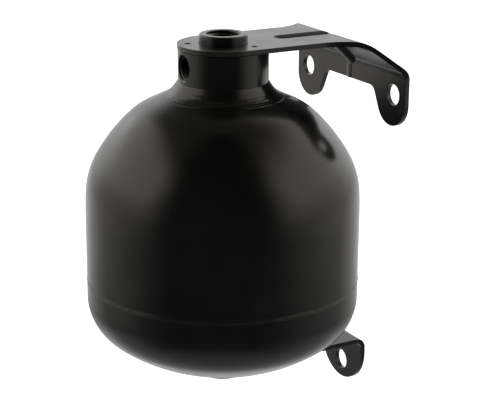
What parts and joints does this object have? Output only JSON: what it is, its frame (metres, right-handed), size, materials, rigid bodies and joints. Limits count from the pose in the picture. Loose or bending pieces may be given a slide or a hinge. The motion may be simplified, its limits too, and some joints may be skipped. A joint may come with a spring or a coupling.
{
  "type": "diaphragm accumulator",
  "caption": "Welded diaphragm accumulator: domed steel pressure vessel with a ported boss on top, a winged sheet bracket on the boss and a small lug below for bolting it upright.",
  "frame": {"origin": "centre of the top port's sealing face, on the vessel's axis", "axes": "+Z out of the top port along the vessel's axis, +X out of the mounting face that both brackets share"},
  "size_m": [0.1219, 0.1158, 0.1643],
  "materials": {
    "shell_paint": "semi-gloss black enamel",
    "boss_paint": "semi-gloss black enamel over turned steel",
    "bracket_paint": "semi-gloss black enamel over pressed sheet",
    "weld_paint": "black enamel over a rippled weld bead",
    "plug_steel": "bare machined steel, lightly browned",
    "ring_steel": "bare rolled steel",
    "diaphragm_rubber": "matt moulded rubber",
    "button_steel": "bare turned steel"
  },
  "bodies": {
    "vessel": {"upper_shell": "shell_paint", "lower_shell": "shell_paint", "girth_weld": "weld_paint", "port_boss": "boss_paint", "boss_weld": "weld_paint", "top_bracket": "bracket_paint", "projection_weld_1": "weld_paint", "projection_weld_2": "weld_paint", "projection_weld_3": "weld_paint", "lower_bracket": "bracket_paint", "lug_top_weld": "weld_paint", "lug_end_weld": "weld_paint", "gas_plug": "plug_steel", "plug_weld": "weld_paint", "clamp_ring": "ring_steel", "diaphragm": "diaphragm_rubber"},
    "valve": {"valve_button": "button_steel", "button_washer": "ring_steel"}
  },
  "joints": [
    {"name": "diaphragm_stroke", "type": "slide", "parent": "vessel", "child": "valve", "axis": [0, 0, -1], "range_m": [0, 0.04], "stiffness_N_per_m": 100, "springref_m": -0.03, "deforming": ["diaphragm"]}
  ]
}
